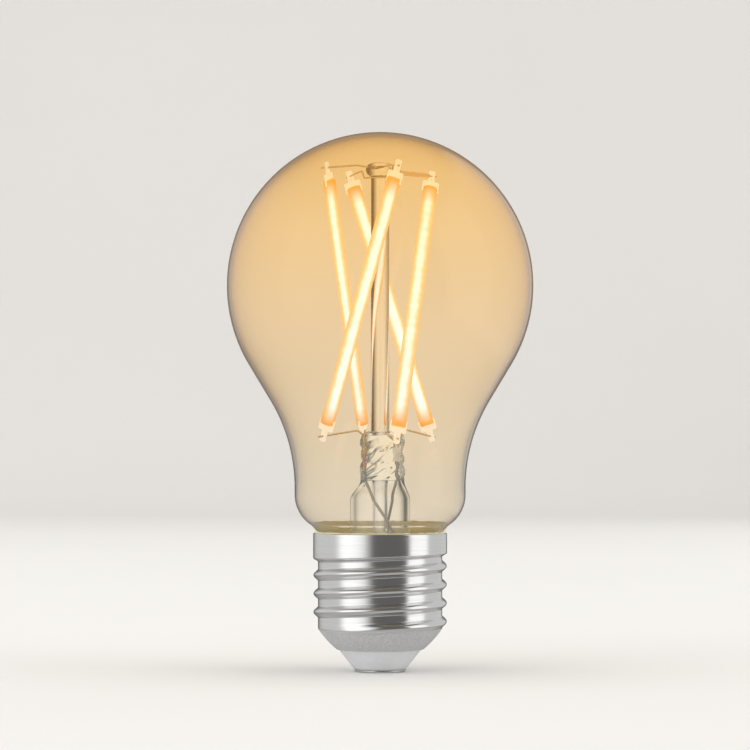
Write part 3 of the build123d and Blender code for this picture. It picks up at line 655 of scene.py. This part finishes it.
def screw_shell(mat):
    """Rolled cap: the thread is pressed through the sheet, so it shows inside as well."""
    columns = 240
    rows = 260
    heights = [CONE_LOW_Z + (CAP_RIM_Z - CONE_LOW_Z) * i / rows for i in range(rows + 1)]
    outer, inner = [], []
    for z in heights:
        for j in range(columns):
            angle = 360.0 * j / columns
            base = shell_base(angle, z)
            radius = max(base, min(base, THREAD_ROOT_R) + ridge(angle, z))
            radius -= 0.15 * smooth((z - CAP_RIM_Z + 0.2) / 0.2) ** 2
            turn = math.radians(angle)
            outer.append((radius * math.cos(turn), radius * math.sin(turn), z))
            thin = radius - SHEET
            inner.append((thin * math.cos(turn), thin * math.sin(turn), max(z, CONE_LOW_Z + 0.02)))
    levels = rows + 1
    verts = outer + [p for i in range(levels - 1, -1, -1) for p in inner[i * columns:(i + 1) * columns]]
    obj = mesh_object("screw_shell_skin", verts, grid_faces(2 * levels, columns, True), mat)
    return settle(obj, "cap_metal", "screw_shell")


def cap_metal():
    """Satin nickel plate: bright on the thread and collar, dull on the cone where the die held it."""
    s = Shader("cap_metal")
    s.set(metallic=1.0)
    turned = s.noise(260.0, 5.0, 0.6, stretch=(0.25, 0.25, 12.0))
    speck = s.noise(2600.0, 3.0, 0.6)
    dull = s.range(s.axis(2), 0.0080, 0.0086, 1.0, 0.0)
    line = s.mix(s.range(turned, 0.3, 0.7, 0.0, 0.35), (0.76, 0.76, 0.75), (0.62, 0.62, 0.61))
    sand = s.mix(s.range(speck, 0.35, 0.65, 0.0, 1.0), (0.48, 0.49, 0.50), (0.60, 0.61, 0.62))
    s.color(s.mix(dull, line, sand))
    bright = s.range(turned, 0.3, 0.7, 0.14, 0.23)
    rough = s.add("ShaderNodeMix", data_type="FLOAT")
    s.link(dull, rough.inputs[0])
    s.link(bright, rough.inputs[2])
    rough.inputs[3].default_value = 0.62
    s.link(rough.outputs[0], s.bsdf.inputs["Roughness"])
    s.link(s.range(dull, 0.0, 1.0, 1.0, 0.30), s.bsdf.inputs["Metallic"])
    s.bump(turned, 0.08, 0.00004)
    return s.mat


def insulator(mat):
    lip = (CONE_LOW_R - 0.2, CONE_LOW_Z + 0.22)
    outline = [(1.1, CONTACT_TOP_Z), (4.85, CONTACT_TOP_Z), (5.05, 0.5)]
    outline += line(outline[-1], lip, 8) + [lip, (8.4, 4.75), (8.65, 5.0), (8.95, 5.4), (1.1, 5.4)]
    return settle(lathe("insulator_cone", outline, mat, 128), "insulator", "cap_insulator")


def bead(turn):
    """Cement above the cap at one azimuth: outer points going up, then inner points coming down."""
    _, centre, foot = fillet_place()
    start = CAP_RIM_Z - 0.1
    ragged = noise.noise(Vector((9 * math.cos(turn), 9 * math.sin(turn), 0)))
    top = CAP_RIM_Z + BEAD_FRONT + BEAD_RISE * smooth((math.sin(turn) + 0.35) / 0.5)
    top += BEAD_RAGGED * ragged
    spare = COLLAR_R - SHEET - centre + math.sqrt(SEAL_FILLET_R ** 2 - (start - foot) ** 2)
    outer, inner = [], []
    for i in range(BEAD_STEPS + 1):
        share = i / BEAD_STEPS
        z = start + (top - start) * share
        glass = centre - math.sqrt(SEAL_FILLET_R ** 2 - (z - foot) ** 2)
        outer.append((glass + 0.04 + (spare - 0.04) * (1 - share) ** 2, z))
        inner.append((glass - WETTED, z))
    return outer + inner[::-1]


def cement(mat):
    """Cement ring: its bead is low at the front and smeared up the glass behind."""
    inside = COLLAR_R - SHEET
    neck = SEAL_NECK_R - WETTED
    bore = SEAL_NECK_R - GLASS_WALL
    low = COLLAR_LOW_Z + 0.12
    seal = GLASS_LOW_Z - 0.02
    turns = 220
    verts = []
    for j in range(turns):
        turn = 2 * math.pi * j / turns
        outline = [(bore, low), (inside, low), (inside, CAP_RIM_Z - 0.3)] + bead(turn)
        outline += [(neck, 26.4), (neck, seal), (bore, seal)]
        verts += [(r * math.cos(turn), r * math.sin(turn), z) for r, z in outline]
    obj = mesh_object("cement_bead", verts, grid_faces(turns, len(verts) // turns, True), mat)
    return settle(obj, "cement", "capping_cement")


# ---------------------------------------------------------------- what stays as CAD
def cad_looks():
    drawn = (1, 1, 6)
    nickel = metal("nickel_wire", (0.92, 0.74, 0.46), 0.35, drawn, 500.0, metallic=0.6, glow=0.06)
    tinned = metal("tinned_wire", (0.74, 0.73, 0.74), 0.45, drawn, 500.0, metallic=0.6)
    # painted light: the tabs' pale cream colour and their glow stand in for the light of the lit sticks
    # they hold
    tab = metal("tab_metal", (1.0, 0.96, 0.88), 0.5, scale=700.0, metallic=0.2, glow=0.46)
    chip_body = plastic("chip_resin", (0.03, 0.03, 0.032), 0.5)
    hookup = plastic("hookup_red", (0.55, 0.06, 0.05), 0.35, coat=0.2)
    sleeve = metal("sleeve_nickel", (0.98, 0.74, 0.40), 0.3, scale=400.0, metallic=0.5, glow=0.15)
    looks = {
        "top_jumper_a_c": nickel, "top_jumper_b_d": nickel, "jumper_sleeve_d": sleeve,
        "outer_lead_left": tinned, "outer_lead_right": tinned,
        "seal_wire_left": metal("seal_copper", (0.90, 0.52, 0.42), 0.35, metallic=0.7),
        "seal_foil_right": metal("seal_nickel", (0.95, 0.93, 0.88), 0.4, metallic=0.4, glow=0.15),
        "end_contact": metal("tinned_contact", (0.62, 0.61, 0.58), 0.3, (1, 1, 1), 250.0, 0.15),
        "contact_rivet": metal("rivet_brass", (0.78, 0.60, 0.30), 0.3),
        "driver_holder": plastic("holder_plastic", (0.82, 0.80, 0.76), 0.5),
        "driver_board": circuit("board_green", (0.03, 0.20, 0.09), (0.05, 0.28, 0.13)),
        "radio_board": circuit("board_dark", (0.02, 0.022, 0.035), (0.04, 0.045, 0.06)),
        "bridge_rectifier": chip_body, "driver_chip": chip_body,
        "smoothing_capacitor": metal("can_aluminium", (0.80, 0.80, 0.81), 0.3),
        "capacitor_sleeve": plastic("sleeve_plastic", (0.02, 0.025, 0.05), 0.25, coat=0.4),
        "inductor_core": plastic("ferrite", (0.05, 0.047, 0.045), 0.6, 900.0, 0.3),
        "inductor_winding": ridged("copper_winding", (0.72, 0.30, 0.10), 0.00042, 0.3),
        "fusible_resistor": plastic("resistor_coat", (0.16, 0.32, 0.26), 0.45, coat=0.2),
        "radio_shield": metal("shield_tin", (0.74, 0.74, 0.73), 0.28, (1, 6, 1), 300.0),
        "radio_antenna": metal("trace_gold", (0.85, 0.62, 0.25), 0.3),
        "board_passives": plastic("chip_parts", (0.42, 0.33, 0.24), 0.45),
        "live_lead": hookup, "feed_lead": hookup,
        "neutral_lead": plastic("hookup_black", (0.03, 0.03, 0.035), 0.35, coat=0.2),
    }
    solder = metal("solder", (0.74, 0.75, 0.77), 0.2)
    looks.update({"solder_joints": solder, "neutral_solder": solder})
    carrier = plastic("carrier_strip", (0.80, 0.77, 0.70), 0.5)
    chips = lit_chip()
    for name in STICKS:
        looks[f"inner_lead_{name}"] = nickel
        looks[f"filament_{name}_strip"] = carrier
        looks[f"filament_{name}_chips"] = chips
        looks[f"filament_{name}_top_tab"] = tab
        looks[f"filament_{name}_low_tab"] = tab
    for node, look in looks.items():
        NODES[node].data.materials.clear()
        NODES[node].data.materials.append(look)


# ---------------------------------------------------------------- camera, stage, light
FRAME_W = 147.3
VIEW_X = -1.0
VIEW_Z = 58.2
CAMERA_DISTANCE = 600.0
EYE_Z = 42.0


def camera():
    data = bpy.data.cameras.new("camera")
    data.sensor_width = 36.0
    data.lens = 36.0 * CAMERA_DISTANCE / FRAME_W
    data.clip_start = 0.01
    data.clip_end = 50.0
    obj = bpy.data.objects.new("camera", data)
    bpy.context.scene.collection.objects.link(obj)
    data.shift_y = (VIEW_Z - EYE_Z) / FRAME_W
    obj.location = Vector((VIEW_X, -CAMERA_DISTANCE, EYE_Z)) * MM
    obj.rotation_euler = (math.radians(90), 0, 0)
    bpy.context.scene.camera = obj


def face(obj, place, aim):
    """Put a flat light at a place and turn it towards a point."""
    obj.location = place
    obj.rotation_euler = (Vector(aim) - Vector(place)).to_track_quat("-Z", "Y").to_euler()


def multiply(s, first, second):
    """Product of a socket with another socket or a number."""
    node = s.add("ShaderNodeMath", operation="MULTIPLY")
    s.link(first, node.inputs[0])
    if isinstance(second, bpy.types.NodeSocket):
        s.link(second, node.inputs[1])
    else:
        node.inputs[1].default_value = second
    return node.outputs[0]


def soft_glow(name, halves, radiance, soft):
    """Clear card material that glows in its middle and fades over the soft share of each half."""
    s = Shader(name)
    fades = []
    for which, half in enumerate(halves):
        side = s.add("ShaderNodeMath", operation="ABSOLUTE")
        s.link(s.axis(which), side.inputs[0])
        fade = s.add("ShaderNodeMapRange", interpolation_type="SMOOTHSTEP")
        for index, number in enumerate((half * (1 - soft), half, 1.0, 0.0)):
            fade.inputs[index + 1].default_value = number
        s.link(side.outputs[0], fade.inputs[0])
        fades.append(fade.outputs[0])
    glow = s.add("ShaderNodeEmission")
    s.link(multiply(s, multiply(s, *fades), radiance), glow.inputs["Strength"])
    both = s.add("ShaderNodeAddShader")
    s.link(glow.outputs[0], both.inputs[0])
    s.link(s.add("ShaderNodeBsdfTransparent").outputs[0], both.inputs[1])
    s.link(both.outputs[0], s.out.inputs[0])
    return s.mat


def card(name, place, aim, size, radiance, soft):
    """A clear glowing card that the metal and the glass mirror; it casts no shadow."""
    w, h = size[0] / 2, size[1] / 2
    mesh = bpy.data.meshes.new(name)
    mesh.from_pydata([(-w, -h, 0), (w, -h, 0), (w, h, 0), (-w, h, 0)], [], [(0, 1, 2, 3)])
    obj = bpy.data.objects.new(name, mesh)
    bpy.context.scene.collection.objects.link(obj)
    face(obj, place, aim)
    mesh.materials.append(soft_glow(name, (w, h), radiance, soft))
    obj.visible_camera = False
    obj.visible_transmission = False
    obj.visible_shadow = False


def fill(name, place, aim, size, radiance):
    """A broad light that nothing mirrors."""
    data = bpy.data.lights.new(name, "AREA")
    data.shape = "RECTANGLE"
    data.size, data.size_y = size
    data.energy = radiance * math.pi * size[0] * size[1]
    obj = bpy.data.objects.new(name, data)
    bpy.context.scene.collection.objects.link(obj)
    face(obj, place, aim)
    obj.visible_camera = False
    obj.visible_glossy = False
    obj.visible_transmission = False


def stage():
    """Plain pale floor that sweeps up into a backdrop."""
    bend = 0.9
    turn = [math.radians(t) for t in range(0, 91, 6)]
    path = [(-4.0, 0.0)] + [(1.6 + bend * math.sin(t), bend * (1 - math.cos(t))) for t in turn]
    path.append((1.6 + bend, 4.0))
    verts = [(x, y, z) for y, z in path for x in (-5.0, 5.0)]
    faces = [(2 * i, 2 * i + 1, 2 * i + 3, 2 * i + 2) for i in range(len(path) - 1)]
    mesh = bpy.data.meshes.new("floor")
    mesh.from_pydata(verts, [], faces)
    mesh.polygons.foreach_set("use_smooth", [True] * len(faces))
    floor = bpy.data.objects.new("floor", mesh)
    bpy.context.scene.collection.objects.link(floor)
    floor.location.z = -0.00002
    s = Shader("floor")
    s.set(roughness=0.9)
    s.color(s.mix(s.noise(3.0, 2.0), (0.80, 0.79, 0.77), (0.77, 0.76, 0.74)))
    mesh.materials.append(s.mat)
    floor.visible_glossy = False
    floor.visible_transmission = False


def ease(tree, value, span, levels):
    """Carry a value from one span to another; a level may itself be a socket."""
    node = tree.nodes.new("ShaderNodeMapRange")
    tree.links.new(value, node.inputs[0])
    for index, item in enumerate((*span, *levels), 1):
        if isinstance(item, bpy.types.NodeSocket):
            tree.links.new(item, node.inputs[index])
        else:
            node.inputs[index].default_value = item
    return node.outputs[0]


def studio_world():
    """Even pale surround; what the glass and the metal see of it depends on the kind of ray."""
    world = bpy.data.worlds.new("studio")
    bpy.context.scene.world = world
    world.use_nodes = True
    tree = world.node_tree
    sky = tree.nodes["Background"]
    sky.inputs[0].default_value = (0.86, 0.84, 0.82, 1.0)
    path = tree.nodes.new("ShaderNodeLightPath")
    where = tree.nodes.new("ShaderNodeTexCoord")
    split = tree.nodes.new("ShaderNodeSeparateXYZ")
    tree.links.new(where.outputs["Generated"], split.inputs[0])
    below = ease(tree, split.outputs[2], (-0.55, -0.15), (0.60, 0.16))
    mirrored = ease(tree, path.outputs["Is Glossy Ray"], (0.0, 1.0), (0.80, below))
    side = ease(tree, split.outputs[0], (0.20, 0.60), (1.05, 0.08))
    bent = ease(tree, split.outputs[0], (-0.7, -0.30), (0.45, side))
    straight = ease(tree, path.outputs["Glossy Depth"], (0.0, 1.0), (0.90, 0.46))
    through = ease(tree, path.outputs["Transmission Depth"], (4.0, 5.0), (straight, bent))
    level = ease(tree, path.outputs["Is Transmission Ray"], (0.0, 1.0), (mirrored, through))
    tree.links.new(level, sky.inputs[1])


def lights():
    studio_world()
    for name, azimuth, distance, width, radiance, soft in (
        ("right_card", 70.0, 0.80, 0.74, 0.62, 0.40),
        ("far_right_card", 105.0, 0.80, 2.70, 0.55, 0.30),
        ("left_card", -47.0, 0.80, 1.30, 0.70, 0.60),
        ("far_left_card", -92.0, 0.70, 4.60, 0.62, 0.80),
    ):
        turn = math.radians(azimuth)
        place = (distance * math.sin(turn), -distance * math.cos(turn), 0.25)
        card(name, place, (0, 0, 0.06), (width, 1.6), radiance, soft)
    fill("top_fill", (0.0, -0.6, 2.5), (0, 0.6, 0.0), (4.5, 4.0), 0.42)
    fill("back_fill", (0.0, 0.4, 1.7), (0, 2.4, 0.6), (4.5, 1.6), 0.40)


def main():
    scene = bpy.context.scene
    scene.view_settings.view_transform = "Standard"
    scene.cycles.max_bounces = 24
    scene.cycles.transmission_bounces = 20
    scene.cycles.transparent_max_bounces = 24
    scene.cycles.caustics_reflective = False
    glass_envelope(amber_glass())
    flare_glass = stem_glass("flare_glass", (0.98, 0.98, 0.98), 0.15, 0.0001, 0.022)
    stem_flare(flare_glass)
    stem_press(stem_glass("press_glass", (0.98, 0.98, 0.96), 0.6, 0.0003, 0.04))
    exhaust(flare_glass)
    pillar(stem_glass("rod_glass", (0.96, 0.94, 0.88), 0.05, 0.00005))
    coat = phosphor()
    for name in STICKS:
        stick_coat(name, coat)
    screw_shell(cap_metal())
    insulator(plastic("insulator_white", (0.72, 0.74, 0.76), 0.42, 500.0, 0.06, 0.15))
    cement(cement_look())
    cad_looks()
    camera()
    stage()
    lights()


main()
